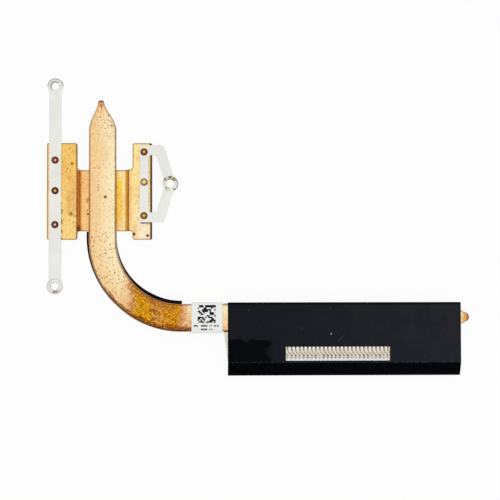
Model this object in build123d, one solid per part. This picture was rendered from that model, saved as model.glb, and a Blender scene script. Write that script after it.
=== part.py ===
from build123d import *
from math import atan2, cos, pi, radians, sin, tan
import os

# Laptop heat sink: a flattened heat pipe carries heat from a stamped cold plate to a stack of zipper fins.
# Millimetres. The origin is the centre of the face that meets the processor. +X runs along the fin stack,
# +Y points to the pipe's sealed hot end and +Z points away from the processor.

# Heat pipe, a round tube that is bent and then pressed flat
tube_diameter = 6.0
pipe_thickness = 2.0
bend_radius = 23.65
bend_lead = 2.45
bend_span_count = 10
rise_start_angle = 45.0
pipe_rise = 3.0
hot_end_y = 30.3
hot_tip_length = 9.2
hot_tip_span_count = 3
hot_nub_width = 1.9
hot_nub_shift = -0.5
cold_tip_length = 6.3
cold_tip_span_count = 2
cold_nub_width = 2.6
cold_nub_shift = 0.1
cold_tip_reach = 2.8
nub_thickness = 1.3
nub_rounding = 0.5

# Cold plate, one stamped copper sheet with a sunk channel between two wings
plate_thickness = 1.0
channel_side_room = 2.71
channel_slope_run = 0.95
channel_length = 18.5
plate_reach_up = 17.2
plate_reach_down = 11.9
left_wing_width = 8.8
right_wing_width = 7.15
left_ear_lip = 0.3
right_ear_relief = 1.26
wing_corner_radius = 0.6
notch_radius = 0.8

# Spring brackets, cut from one gauge of steel sheet
bracket_thickness = 0.6
head_margin = 0.55
head_pad_height = 0.3
screw_hole_diameter = 2.4
left_strip_width = 3.7
left_strip_inset = 0.65
left_hole_upper_y = 34.3
left_hole_lower_y = -25.9
left_neck_fillet = 2.0
right_bar_width = 2.65
right_arm_width = 3.0
right_bar_inset = 1.1
right_loop_inset_up = 2.2
right_loop_inset_down = 6.7
right_corner_reach = 4.875
right_head_reach = 7.875
right_outer_radius = 1.2
right_inner_radius = 0.8
right_foot_radius = 0.5

# Rivet bosses, drawn up from the plate in a row of three and peened over each bracket
rivet_head_diameter = 2.2
rivet_crown_diameter = 1.8
rivet_head_height = 0.3
rivet_neck_diameter = 1.3
rivet_clearance = 0.03
left_rivet_inset_up = 5.2
left_rivet_inset_down = 4.5
right_rivet_inset = 0.5
rivet_middle_shift = 0.5

# Zipper fins, each a thin sheet with flanges that reach the next fin
fin_count = 58
fin_pitch = 1.2
fin_sheet = 0.2
fin_height = 6.0
fin_depth = 17.35
fin_rear_room = 0.2
fin_pipe_clearance = 0.1
flange_gap = 0.34
flange_seam = 0.07
hook_length = 1.75
hook_slant_length = 1.1
hook_shift = 1.05
hook_taper_length = 1.9
end_fin_bend = 1.2

# Cover film over the fin stack
film_thickness = 0.15
film_rear_lip = 1.0
film_lip_room = 0.1
film_lip_radius = 0.4
film_front_room = 0.35
film_fold_radius = 0.6
flap_length = 4.5
flap_droop_angle = 30.0
window_start = 17.3
window_length = 31.1
window_depth = 4.15
window_fold_margin = 0.6

# Insulating tape under the bend of the pipe
tape_width = 8.95
tape_thickness = 0.15
tape_adhesive = 0.05
tape_plate_gap = 0.15
tape_start_drift = -0.4
tape_end_drift = 0.55
tape_overrun = 0.3

# Label on the pipe beside the fin stack
label_length = 9.3
label_width = 9.1
label_thickness = 0.1
label_bend_gap = 3.15
label_fin_gap = 1.55
label_fold_inset = 0.5
label_droop = 0.35
label_fold_radius = 1.5

# Sizes that follow from the values above
pipe_width = pi * (tube_diameter - pipe_thickness) / 2 + pipe_thickness
hot_mid_z = plate_thickness + pipe_thickness / 2
wing_top = plate_thickness + pipe_thickness
wing_bottom = wing_top - plate_thickness
bend_start_y = -channel_length / 2 - bend_lead
cold_y = bend_start_y - bend_radius
label_start_x = bend_radius + label_bend_gap
fin_start_x = label_start_x + label_length + label_fin_gap
pipe_seat_z = plate_thickness + pipe_rise
fin_top = pipe_seat_z + pipe_thickness
fin_bottom = fin_top - fin_height
fin_end_x = fin_start_x + fin_count * fin_pitch
fin_rear_y = cold_y + pipe_width / 2 + fin_rear_room
fin_front_y = fin_rear_y - fin_depth
fin_step_y = cold_y - pipe_width / 2 - fin_pipe_clearance
floor_half = pipe_width / 2 + channel_side_room
channel_half = floor_half + channel_slope_run
plate_left = -channel_half - left_wing_width
plate_right = channel_half + right_wing_width
bracket_top = wing_top + bracket_thickness
head_diameter = left_strip_width + 2 * head_margin
left_strip_x = plate_left + left_strip_inset + left_strip_width / 2
right_bar_x = plate_right - right_bar_inset - right_bar_width / 2
right_loop_upper_y = plate_reach_up - right_loop_inset_up
right_loop_lower_y = right_loop_inset_down - plate_reach_down
right_head_x = right_bar_x + right_head_reach
right_head_y = (right_loop_upper_y + right_loop_lower_y) / 2
left_rivet_upper_y = plate_reach_up - left_rivet_inset_up
left_rivet_lower_y = left_rivet_inset_down - plate_reach_down
right_rivet_upper_y = right_loop_upper_y - right_rivet_inset
right_rivet_lower_y = right_loop_lower_y + right_rivet_inset
film_fold_y = fin_front_y - film_front_room


def ease(share):
    """Smooth step from 0 to 1 with a level start and end."""
    held = min(max(share, 0.0), 1.0)
    return held * held * (3 - 2 * held)


def bend_plane(angle):
    """Plane across the pipe at an angle round its bend: 0 at the hot leg, 90 at the cold leg.

    Its X points to the inside of the bend, its Y up and its Z along the pipe towards the fins.
    """
    turn = radians(angle)
    height = hot_mid_z + pipe_rise * ease((angle - rise_start_angle) / (90 - rise_start_angle))
    across = bend_radius * (1 - cos(turn))
    along = bend_start_y - bend_radius * sin(turn)
    return Plane((across, along, height), x_dir=(cos(turn), sin(turn), 0), z_dir=(sin(turn), -cos(turn), 0))


def bend_stations():
    """Angles round the bend where its straight spans meet."""
    return [90 * span / bend_span_count for span in range(bend_span_count + 1)]


def pipe_section(width, thickness):
    """Outline of the pressed tube: two flats joined by half circles."""
    return SlotOverall(width, thickness)


def sealed_tip(shoulder, direction, length, span_count, nub_width, nub_shift):
    """Spans from the full section at the shoulder plane down to a small rounded nub, a little off centre."""
    sections = []
    for span in range(span_count + 1):
        share = span / span_count
        swell = (1 - share ** 2) ** 2
        width = nub_width + (pipe_width - nub_width) * swell
        thickness = nub_thickness + (pipe_thickness - nub_thickness) * swell
        reach = direction * share * (length - nub_rounding)
        section = Pos(nub_shift * (1 - swell), 0) * pipe_section(width, thickness)
        sections.append(shoulder.offset(reach) * section)
    closed = Pos(nub_shift, 0) * pipe_section(nub_width - nub_rounding, nub_thickness - nub_rounding)
    sections.append(shoulder.offset(direction * length) * closed)
    return loft(sections, ruled=True)


def make_heat_pipe():
    section = pipe_section(pipe_width, pipe_thickness)
    pipe = loft([bend_plane(angle) * section for angle in bend_stations()], ruled=True)
    hot_start = bend_plane(0)
    hot_leg = hot_end_y - hot_tip_length - bend_start_y
    hot_shoulder = hot_start.offset(-hot_leg)
    pipe += extrude(hot_start * section, -hot_leg)
    pipe += sealed_tip(hot_shoulder, -1, hot_tip_length, hot_tip_span_count, hot_nub_width, hot_nub_shift)
    cold_start = bend_plane(90)
    cold_leg = fin_end_x + cold_tip_reach - cold_tip_length - bend_radius
    cold_shoulder = cold_start.offset(cold_leg)
    pipe += extrude(cold_start * section, cold_leg)
    pipe += sealed_tip(cold_shoulder, 1, cold_tip_length, cold_tip_span_count, cold_nub_width, cold_nub_shift)
    return pipe


def flat_sheet(outline, bottom, thickness):
    """A plan outline raised to a sheet of the given thickness."""
    return extrude(Pos(0, 0, bottom) * outline, thickness)


def rectangle_between(x_low, x_high, y_low, y_high):
    """Plan rectangle from its corners."""
    centre = Pos((x_low + x_high) / 2, (y_low + y_high) / 2)
    return centre * Rectangle(x_high - x_low, y_high - y_low)


def plate_outline():
    """Plan of the stamped sheet: two wings with an ear at each end, joined by the channel."""
    notch_left = left_ear_lip - channel_half
    notch_right = channel_half + right_ear_relief
    sheet = rectangle_between(plate_left, plate_right, -plate_reach_down, plate_reach_up)
    sheet -= rectangle_between(notch_left, notch_right, channel_length / 2, plate_reach_up)
    sheet -= rectangle_between(notch_left, notch_right, -plate_reach_down, -channel_length / 2)
    rows = sheet.vertices().group_by(Axis.Y)
    sheet = fillet(rows[1] + rows[2], notch_radius)
    rows = sheet.vertices().group_by(Axis.Y)
    return fillet(rows[0] + rows[-1], wing_corner_radius)


def make_cold_plate():
    """The folded profile drawn along the whole sheet, cut to its outline, with the rivet bosses on top."""
    slope = atan2(pipe_thickness, channel_slope_run)
    shift = plate_thickness * tan(slope / 2)
    profile = make_face(
        Polyline(
            (plate_left, wing_top),
            (-channel_half, wing_top),
            (-floor_half, plate_thickness),
            (floor_half, plate_thickness),
            (channel_half, wing_top),
            (plate_right, wing_top),
            (plate_right, wing_bottom),
            (channel_half + shift, wing_bottom),
            (floor_half + shift, 0),
            (-floor_half - shift, 0),
            (-channel_half - shift, wing_bottom),
            (plate_left, wing_bottom),
            close=True,
        )
    )
    plate = extrude(Plane.XZ.offset(-plate_reach_up) * profile, plate_reach_up + plate_reach_down)
    plate &= flat_sheet(plate_outline(), 0, wing_top)
    for x, y in left_rivet_places() + right_rivet_places():
        plate += Pos(x, y, wing_top) * rivet_boss()
    return plate


def rivet_row(x, upper_y, lower_y):
    """Places of the three rivets that hold one bracket, the middle one a little above halfway."""
    middle_y = (upper_y + lower_y) / 2 + rivet_middle_shift
    return [(x, upper_y), (x, middle_y), (x, lower_y)]


def left_rivet_places():
    return rivet_row(left_strip_x, left_rivet_upper_y, left_rivet_lower_y)


def right_rivet_places():
    return rivet_row(right_bar_x, right_rivet_upper_y, right_rivet_lower_y)


def rivet_boss():
    """A neck that fills the bracket's hole and a head peened over it, rising from the wing's top."""
    upright = (Align.CENTER, Align.CENTER, Align.MIN)
    neck = Cylinder(rivet_neck_diameter / 2, bracket_thickness, align=upright)
    head = Cone(rivet_head_diameter / 2, rivet_crown_diameter / 2, rivet_head_height, align=upright)
    return neck + Pos(0, 0, bracket_thickness) * head


def finish_bracket(outline, heads, rivets):
    """Raise a bracket's outline to sheet, thicken its screw heads and cut its holes."""
    bracket = flat_sheet(outline, wing_top, bracket_thickness)
    for x, y in heads:
        pad = Pos(x, y) * Circle(head_diameter / 2)
        hole = Pos(x, y) * Circle(screw_hole_diameter / 2)
        bracket += flat_sheet(pad, bracket_top, head_pad_height)
        bracket -= flat_sheet(hole, wing_top, bracket_thickness + head_pad_height)
    for x, y in rivets:
        hole = Pos(x, y) * Circle(rivet_neck_diameter / 2 + rivet_clearance)
        bracket -= flat_sheet(hole, wing_top, bracket_thickness)
    return bracket


def make_left_bracket():
    heads = ((left_strip_x, left_hole_upper_y), (left_strip_x, left_hole_lower_y))
    edge_x = left_strip_x - left_strip_width / 2
    outline = rectangle_between(edge_x, edge_x + left_strip_width, left_hole_lower_y, left_hole_upper_y)
    for x, y in heads:
        outline += Pos(x, y) * Circle(head_diameter / 2)
    outline = fillet(outline.vertices(), left_neck_fillet)
    return finish_bracket(outline, heads, left_rivet_places())


def loop_face(bar_x):
    """The area inside the middle line of the right bracket's arms, closed by a line at bar_x."""
    corner_x = right_bar_x + right_corner_reach
    return make_face(
        Polyline(
            (bar_x, right_loop_upper_y),
            (corner_x, right_loop_upper_y),
            (right_head_x, right_head_y),
            (corner_x, right_loop_lower_y),
            (bar_x, right_loop_lower_y),
            close=True,
        )
    )


def make_right_bracket():
    """A closed loop: a bar riveted to the wing, with two arms that meet at one screw head."""
    bar_half = right_bar_width / 2
    arm_half = right_arm_width / 2
    outer = offset(loop_face(right_bar_x - bar_half + arm_half), arm_half, kind=Kind.INTERSECTION)
    inner = offset(loop_face(right_bar_x + bar_half - arm_half), -arm_half, kind=Kind.INTERSECTION)
    feet = [corner for corner in outer.vertices() if corner.X < right_bar_x]
    outer = fillet(feet, right_foot_radius)
    shoulders = [corner for corner in outer.vertices() if right_bar_x < corner.X < right_head_x]
    outer = fillet(shoulders, right_outer_radius)
    inner = fillet(inner.vertices(), right_inner_radius)
    head = Pos(right_head_x, right_head_y) * Circle(head_diameter / 2)
    outline = outer - inner + head
    return finish_bracket(outline, ((right_head_x, right_head_y),), right_rivet_places())


def step_profile():
    """Side outline of a fin sheet, cut down at the rear so that the pipe lies in the step."""
    seat = pipe_seat_z - fin_sheet
    return make_face(
        Polyline(
            (fin_rear_y, fin_bottom),
            (fin_rear_y, seat),
            (fin_step_y, seat),
            (fin_step_y, fin_top - fin_sheet),
            (fin_front_y, fin_top - fin_sheet),
            (fin_front_y, fin_bottom),
            close=True,
        )
    )


def hooked_flange():
    """Plan outline of a top flange: a bar beside its own fin, then a hook that leans over the next one."""
    hook_y = fin_front_y + hook_length
    slant_y = hook_y + hook_slant_length
    taper_y = slant_y + hook_taper_length
    shift = hook_shift
    return make_face(
        Polyline(
            (0, fin_step_y),
            (0, slant_y),
            (shift, hook_y),
            (shift, fin_front_y),
            (shift + fin_pitch - flange_seam, fin_front_y),
            (shift + fin_pitch - flange_seam, hook_y),
            (fin_pitch - flange_seam, slant_y),
            (fin_pitch - flange_gap, taper_y),
            (fin_pitch - flange_gap, fin_step_y),
            close=True,
        )
    )


def plain_flange(y_low, y_high):
    """Plan outline of a straight flange that reaches the next fin."""
    return rectangle_between(0, fin_pitch - flange_seam, y_low, y_high)


def fin_flanges(top_outline):
    """The flanges of one fin: on top, under the pipe and along the bottom."""
    top = flat_sheet(top_outline, fin_top - fin_sheet, fin_sheet)
    seat = flat_sheet(plain_flange(fin_step_y, fin_rear_y), pipe_seat_z - fin_sheet, fin_sheet)
    base = flat_sheet(plain_flange(fin_front_y, fin_rear_y), fin_bottom, fin_sheet)
    return top + seat + base


def fin_web():
    """The upright sheet of one fin."""
    return extrude(Plane.YZ * step_profile(), fin_sheet)


def shows_in_window(index):
    """Whether the film's window lies over this fin or its hook."""
    left = index * fin_pitch
    right = left + 2 * fin_pitch + hook_shift
    return right > window_start and left < window_start + window_length


def make_fin_stack():
    """The fins between the two end sheets. Hooks that the film covers are left straight."""
    hooked = (fin_web() + fin_flanges(hooked_flange())).solid()
    plain = (fin_web() + fin_flanges(plain_flange(fin_front_y, fin_step_y))).solid()
    fins = []
    for index in range(1, fin_count):
        fin = hooked if shows_in_window(index) else plain
        fins.append(Pos(fin_start_x + index * fin_pitch, 0, 0) * fin)
    return fins


def make_left_end_fin():
    """The first fin, with its sheet bent outwards beside the pipe."""
    outer_front = (0, fin_front_y)
    web_plan = make_face(
        Polyline(
            outer_front,
            (-end_fin_bend, fin_step_y),
            (-end_fin_bend, fin_rear_y),
            (fin_sheet - end_fin_bend, fin_rear_y),
            (fin_sheet - end_fin_bend, fin_step_y),
            (fin_sheet, fin_front_y),
            close=True,
        )
    )
    web = extrude(Pos(0, 0, fin_bottom) * web_plan, fin_height)
    over = flat_sheet(
        rectangle_between(-2 * end_fin_bend, fin_pitch, fin_step_y, fin_rear_y + fin_sheet),
        pipe_seat_z,
        fin_height,
    )
    roof_plan = make_face(
        Polyline(
            outer_front,
            (-end_fin_bend, fin_step_y),
            (fin_pitch - flange_seam, fin_step_y),
            (fin_pitch - flange_seam, fin_front_y),
            close=True,
        )
    )
    roof = flat_sheet(roof_plan, fin_top - fin_sheet, fin_sheet)
    seat_plan = rectangle_between(-end_fin_bend, fin_pitch - flange_seam, fin_step_y, fin_rear_y)
    seat = flat_sheet(seat_plan, pipe_seat_z - fin_sheet, fin_sheet)
    base_plan = roof_plan + seat_plan
    base = flat_sheet(base_plan, fin_bottom, fin_sheet)
    return Pos(fin_start_x, 0, 0) * (web - over + roof + seat + base)


def make_right_end_fin():
    """The closing sheet at the far end of the stack."""
    return Pos(fin_end_x, 0, 0) * fin_web()


def make_cover_film():
    """Film folded over the stack: a short lip behind the pipe and a flap that droops in front."""
    droop = radians(flap_droop_angle)
    lip_y = fin_rear_y + film_lip_room
    inner_line = FilletPolyline(
        (lip_y, fin_top - film_rear_lip),
        (lip_y, fin_top),
        (film_fold_y, fin_top),
        (film_fold_y - flap_length * cos(droop), fin_top - flap_length * sin(droop)),
        radius=[film_lip_radius, film_fold_radius],
    )
    section = make_face(offset(inner_line, film_thickness, side=Side.RIGHT))
    film_start = fin_start_x
    film_end = fin_end_x + fin_sheet
    film = extrude(Plane.YZ.offset(film_start) * section, film_end - film_start)
    window_front = film_fold_y + window_fold_margin
    window = rectangle_between(
        film_start + window_start,
        film_start + window_start + window_length,
        window_front,
        window_front + window_depth,
    )
    return film - flat_sheet(window, fin_top - film_thickness, 3 * film_thickness)


def tape_section(drift):
    """Outline of the tape against the underside of the pipe, moved across it by drift."""
    top = -pipe_thickness / 2 - tape_adhesive
    return Pos(drift, top - tape_thickness / 2) * Rectangle(tape_width, tape_thickness)


def make_insulating_tape():
    """Tape from the plate's edge round the bend, drifting slowly across the pipe."""
    start_y = -channel_length / 2 - tape_plate_gap
    tape = extrude(bend_plane(0) * tape_section(tape_start_drift), bend_start_y - start_y)
    sections = []
    for angle in bend_stations():
        drift = tape_start_drift + (tape_end_drift - tape_start_drift) * angle / 90
        sections.append(bend_plane(angle) * tape_section(drift))
    tape += loft(sections, ruled=True)
    tape += extrude(bend_plane(90) * tape_section(tape_end_drift), tape_overrun)
    return tape


def make_label():
    """Paper label laid over the pipe, with both edges hanging a little past its sides."""
    flat_half = pipe_width / 2 - label_fold_inset
    edge_half = label_width / 2
    inner_line = FilletPolyline(
        (cold_y + edge_half, fin_top - label_droop),
        (cold_y + flat_half, fin_top),
        (cold_y - flat_half, fin_top),
        (cold_y - edge_half, fin_top - label_droop),
        radius=label_fold_radius,
    )
    section = make_face(offset(inner_line, label_thickness, side=Side.RIGHT))
    return extrude(Plane.YZ.offset(label_start_x) * section, label_length)


parts = {
    "heat_pipe": make_heat_pipe(),
    "cold_plate": make_cold_plate(),
    "left_bracket": make_left_bracket(),
    "right_bracket": make_right_bracket(),
    "fin_stack": make_fin_stack(),
    "left_end_fin": make_left_end_fin(),
    "right_end_fin": make_right_end_fin(),
    "cover_film": make_cover_film(),
    "insulating_tape": make_insulating_tape(),
    "pipe_label": make_label(),
}

os.makedirs("parts", exist_ok=True)
for name, made in parts.items():
    pieces = made if isinstance(made, list) else [made]
    solids = [solid for piece in pieces for solid in piece.solids()]
    export_step(Compound(solids), f"parts/{name}.step")
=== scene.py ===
import math

import bmesh
import bpy
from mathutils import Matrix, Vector, noise


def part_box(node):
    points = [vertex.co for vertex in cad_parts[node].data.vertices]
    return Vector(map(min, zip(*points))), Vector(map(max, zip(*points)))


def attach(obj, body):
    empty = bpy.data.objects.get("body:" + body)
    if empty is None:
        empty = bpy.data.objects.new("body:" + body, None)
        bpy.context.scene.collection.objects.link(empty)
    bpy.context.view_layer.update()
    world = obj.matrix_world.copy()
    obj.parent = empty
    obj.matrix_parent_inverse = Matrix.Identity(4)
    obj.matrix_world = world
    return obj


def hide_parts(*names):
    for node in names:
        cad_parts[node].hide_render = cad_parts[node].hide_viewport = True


# Laptop heat sink: a flattened copper heat pipe, a stamped cold plate with two spring brackets, and a fin
# stack under black film. Lengths are millimetres here, and meshes are scaled to metres as they are made.
# Colours are written as they look, 0 to 255.

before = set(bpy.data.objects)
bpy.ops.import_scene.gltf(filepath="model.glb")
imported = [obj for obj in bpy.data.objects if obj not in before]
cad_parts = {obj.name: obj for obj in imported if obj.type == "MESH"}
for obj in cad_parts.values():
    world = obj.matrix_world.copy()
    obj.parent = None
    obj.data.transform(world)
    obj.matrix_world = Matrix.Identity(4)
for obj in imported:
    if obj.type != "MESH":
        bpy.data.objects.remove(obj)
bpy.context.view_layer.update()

MM = 0.001
BODY = "root"

# Camera, almost straight above the object
CAMERA_TARGET = (44.38, -15.02, 3.0)
CAMERA_DISTANCE = 400.0
CAMERA_TURNS = (2.11, -1.65, -0.10)
CAMERA_LENS = 95.65
CAMERA_SENSOR = 36.0

# Studio
FLOOR_SIZE = 3000.0
FLOOR_GAP = 0.02
FLOOR_WHITE = 0.97
FLOOR_GLOW = 0.92
SKY_LOW = 0.15
SKY_HIGH = 1.0
SKY_FADE_START = 0.1
SKY_FADE_END = 0.6

# Heat pipe
PIPE_THICKNESS = 2.0
BEND_RADIUS = 23.65
RISE_START_ANGLE = 45.0
HOT_TIP_LENGTH = 9.2
HOT_NUB_WIDTH = 1.9
HOT_NUB_SHIFT = -0.5
COLD_TIP_LENGTH = 6.3
COLD_NUB_WIDTH = 2.6
COLD_NUB_SHIFT = 0.1
NUB_THICKNESS = 1.3
NUB_ROUNDING = 0.5
NUB_CORNER = 0.42
CREASE_DEPTH = 0.2
CREASE_WIDTH = 0.28
CREASE_START = 0.9
CREASE_END = 4.3
CREASE_FADES = (4.0, 1.3)
PIPE_WAVE = 0.03
PIPE_WAVE_LENGTHS = (6.0, 3.0)
PIPE_STEP = 0.6
PIPE_TIP_STEP = 0.1
PIPE_ARC_STEPS = 12
PIPE_FLAT_STEPS = 18

# Cold plate
PLATE_THICKNESS = 1.0
CHANNEL_SIDE_ROOM = 2.71
CHANNEL_SLOPE_RUN = 0.95
CHANNEL_HALF_LENGTH = 9.25
LEFT_EAR_LIP = 0.3
RIGHT_EAR_RELIEF = 1.26
WING_CORNER_RADIUS = 0.6
NOTCH_RADIUS = 0.8
UPPER_FOLD_RADIUS = 1.0
LOWER_FOLD_RADIUS = 0.3
SHEET_EDGE = 0.1
EDGE_SEGMENTS = 2
EDGE_ANGLE = 40.0
EDGE_TONE_WIDTH = 0.5
ARC_STEPS = 6

# Brackets and rivets
BRACKET_THICKNESS = 0.6
BRACKET_EDGE = 0.08
HEAD_RADIUS = 2.4
HEAD_HEIGHT = 0.9
HEAD_SLOPE = 0.9
HEAD_ROUNDING = 0.25
HEAD_COVER = 0.1
HOLE_RADIUS = 1.2
LEFT_STRIP_HALF = 1.85
NECK_FILLET = 2.0
STRIP_STEP = 0.25
RIGHT_BAR_WIDTH = 2.65
RIGHT_ARM_WIDTH = 3.0
RIGHT_CORNER_REACH = 4.875
RIGHT_HEAD_REACH = 7.875
RIGHT_OUTER_RADIUS = 1.2
RIGHT_INNER_RADIUS = 0.8
RIGHT_FOOT_RADIUS = 0.5
RIVET_RADIUS = 1.1
RIVET_HEIGHT = 0.3
RIVET_CROWN_RADIUS = 0.2
LEFT_RIVETS = (12.0, 2.8, -7.4)
RIGHT_RIVETS = (14.5, 5.4, -4.7)
LATHE_STEPS = 40

# Fins
FIN_PITCH = 1.2
FIN_EDGE = 0.05
WELD_DISTANCE = 0.001
HOOK_SHIFT = 1.05
HOOK_LENGTH = 1.75
HOOK_SLANT = 1.1
FLANGE_GAP = 0.34

# Cover film
FILM_THICKNESS = 0.1
FILM_WAVE = 0.04
FILM_WAVE_LENGTHS = (9.0, 6.0)
FILM_WAVE_START = 0.5
FLAP_WAVE = 0.16
FLAP_WAVE_LENGTH = 14.0
FLAP_WAVE_START = (3.0, 1.5)
FLAP_LENGTH = 4.5
FLAP_DROOP = 30.0
LIP_LENGTH = 1.1
LIP_RADIUS = 0.5
FLAP_RADIUS = 0.75
WINDOW_START = 17.3
WINDOW_LENGTH = 31.1
WINDOW_DEPTH = 4.15
WINDOW_FOLD_MARGIN = 0.6
FILM_STEP = 0.8

# Tape and label
TAPE_WIDTH = 9.05
TAPE_THICKNESS = 0.15
TAPE_EDGE = TAPE_THICKNESS / 4
TAPE_ADHESIVE = 0.05
TAPE_START_DRIFT = -0.35
TAPE_END_DRIFT = 0.6
TAPE_DRIFT_SHARE = 0.7
TAPE_OVERRUN = 0.3
LABEL_THICKNESS = 0.08
LABEL_DROOP = 0.35
LABEL_FOLD_INSET = 0.5
LABEL_FOLD_RADIUS = 1.5
LABEL_STEP = 0.4

# Marks: a speck or a blot with the stain round it, the flatness of the pipe's upper face, and no stretch
SPECK_SHARE = 0.9
SPECK_STAIN_SHARE = 0.3
BLOT_SHARE = 0.95
BLOT_STAIN_SHARE = 0.4
BLOT_EDGE = 0.12
STAIN_SPREAD = 1.8
STAIN_COLOUR = (206, 138, 40)
TOP_FACE = 1.0
EVEN = (1.0, 1.0, 1.0)


def node_box(node):
    """Lowest and highest corner of a CAD node, in millimetres."""
    low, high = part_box(node)
    return low / MM, high / MM


pipe_low, pipe_high = node_box("heat_pipe")
plate_low, plate_high = node_box("cold_plate")
left_low, left_high = node_box("left_bracket")
right_low, right_high = node_box("right_bracket")
fin_low, fin_high = node_box("fin_stack")
film_low, film_high = node_box("cover_film")
tape_high = node_box("insulating_tape")[1]
label_low, label_high = node_box("pipe_label")

pipe_half_width = -pipe_low.x
pipe_half_height = PIPE_THICKNESS / 2
hot_mid_z = pipe_low.z + pipe_half_height
cold_mid_z = pipe_high.z - pipe_half_height
cold_y = pipe_low.y + pipe_half_width
bend_start_y = cold_y + BEND_RADIUS
hot_leg = pipe_high.y - bend_start_y
bend_length = BEND_RADIUS * math.pi / 2
pipe_length = hot_leg + bend_length + pipe_high.x - BEND_RADIUS
wing_top = plate_low.z + PLATE_THICKNESS + PIPE_THICKNESS
floor_half = pipe_half_width + CHANNEL_SIDE_ROOM
channel_half = floor_half + CHANNEL_SLOPE_RUN
bracket_top = wing_top + BRACKET_THICKNESS
left_strip_x = (left_low.x + left_high.x) / 2
upper_head = Vector((left_strip_x, left_high.y - HEAD_RADIUS))
lower_head = Vector((left_strip_x, left_low.y + HEAD_RADIUS))
right_head = Vector((right_high.x - HEAD_RADIUS, (right_low.y + right_high.y) / 2))
right_bar_x = right_head.x - RIGHT_HEAD_REACH
rivets = [(left_strip_x, y) for y in LEFT_RIVETS] + [(right_bar_x, y) for y in RIGHT_RIVETS]
fold_y = film_low.y + FLAP_LENGTH * math.cos(math.radians(FLAP_DROOP))
window_low = Vector((film_low.x + WINDOW_START, fold_y + WINDOW_FOLD_MARGIN))
window_high = window_low + Vector((WINDOW_LENGTH, WINDOW_DEPTH))


def ease(share):
    """Smooth step from 0 to 1 with a level start and end."""
    held = min(max(share, 0.0), 1.0)
    return held * held * (3 - 2 * held)


def blend(low, high, share):
    return low + (high - low) * share


def wave(*place):
    """A smooth random value from 0 to 1."""
    return 0.5 + 0.5 * noise.noise(Vector(place))


def spread(low, high, step):
    """Evenly spaced values from low to high, about a step apart."""
    count = max(1, round((high - low) / step))
    return [blend(low, high, index / count) for index in range(count + 1)]


def rounded_line(points, radii, closed=False):
    """A line through points in a plane whose corners are replaced by arcs of the given radii."""
    corners = [Vector(point) for point in points]
    made = []
    for index, corner in enumerate(corners):
        before = corners[index - 1] - corner
        after = corners[(index + 1) % len(corners)] - corner
        at_end = not closed and index in (0, len(corners) - 1)
        if at_end or radii[index] == 0:
            made.append(corner)
            continue
        turn = math.pi - before.angle(after)
        reach = radii[index] * math.tan(turn / 2)
        middle = (before.normalized() + after.normalized()).normalized()
        centre = corner + middle * radii[index] / math.cos(turn / 2)
        start = corner + before.normalized() * reach - centre
        end = corner + after.normalized() * reach - centre
        for step in range(ARC_STEPS + 1):
            share = step / ARC_STEPS
            weights = [math.sin(part * turn) / math.sin(turn) for part in (1 - share, share)]
            made.append(centre + start * weights[0] + end * weights[1])
    return made


def subdivided(line, step):
    """The same line with further points, so that none lie more than about a step apart."""
    made = []
    for first, second in zip(line, line[1:]):
        shares = spread(0.0, 1.0, min(1.0, step / (second - first).length))
        made.extend(first.lerp(second, share) for share in shares[:-1])
    return made + [line[-1]]


def add_object(name, data):
    made = bpy.data.objects.new(name, data)
    bpy.context.scene.collection.objects.link(made)
    return made


def make_piece(name, vertices, faces, material, replaced=None, flow=None):
    """A smooth mesh piece on the part's only body. Flow keeps values of each vertex for the material."""
    mesh = bpy.data.meshes.new(name)
    mesh.from_pydata([Vector(vertex) * MM for vertex in vertices], [], faces)
    mesh.materials.append(material)
    mesh.polygons.foreach_set("use_smooth", [True] * len(mesh.polygons))
    if flow:
        kept = mesh.attributes.new("flow", "FLOAT_VECTOR", "POINT")
        kept.data.foreach_set("vector", [value for point in flow for value in point])
    piece = add_object(name, mesh)
    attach(piece, BODY)
    if replaced:
        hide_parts(replaced)
    return piece


def grid_faces(row_count, width, closed=False):
    """Quads between neighbouring rows of vertices. A closed row also joins its last vertex to its first."""
    faces = []
    for low in range(0, (row_count - 1) * width, width):
        for here in range(width if closed else width - 1):
            after = (here + 1) % width
            faces.append((low + here, low + after, low + width + after, low + width + here))
    return faces


def tube_faces(ring_count, ring_size):
    """Quads between the rings of a tube, and one face on each of its ends."""
    last = (ring_count - 1) * ring_size
    ends = [tuple(range(ring_size - 1, -1, -1)), tuple(range(last, last + ring_size))]
    return grid_faces(ring_count, ring_size, closed=True) + ends


def drop_unused(vertices, faces):
    """The same sheet without the vertices that no face needs."""
    used = sorted({index for face in faces for index in face})
    numbers = {old: new for new, old in enumerate(used)}
    return [vertices[index] for index in used], [tuple(numbers[index] for index in face) for face in faces]


def thicken(piece, thickness):
    """Give an open sheet its thickness, downwards."""
    solid = piece.modifiers.new("thickness", "SOLIDIFY")
    solid.thickness = thickness * MM
    solid.offset = -1
    solid.use_even_offset = True


def soften(piece, edge):
    """Round the sharp edges of a piece and keep its flat faces flat."""
    bevel = piece.modifiers.new("edges", "BEVEL")
    bevel.width = edge * MM
    bevel.segments = EDGE_SEGMENTS
    bevel.limit_method = "ANGLE"
    bevel.angle_limit = math.radians(EDGE_ANGLE)
    piece.modifiers.new("flat_faces", "WEIGHTED_NORMAL")


# Materials


def tone(colour):
    """A colour as it looks, turned into the linear values that shaders take."""
    shares = [value / 255 for value in colour]
    linear = [share / 12.92 if share <= 0.04045 else ((share + 0.055) / 1.055) ** 2.4 for share in shares]
    return (*linear, 1.0)


def add_node(tree, kind, inputs, **settings):
    """A new shader node, with its inputs linked to fields or set to constants."""
    node = tree.nodes.new("ShaderNode" + kind)
    for name, setting in settings.items():
        setattr(node, name, setting)
    for name, value in inputs.items():
        if isinstance(value, Field):
            tree.links.new(value.output, node.inputs[name])
        else:
            node.inputs[name].default_value = value
    return node


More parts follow.
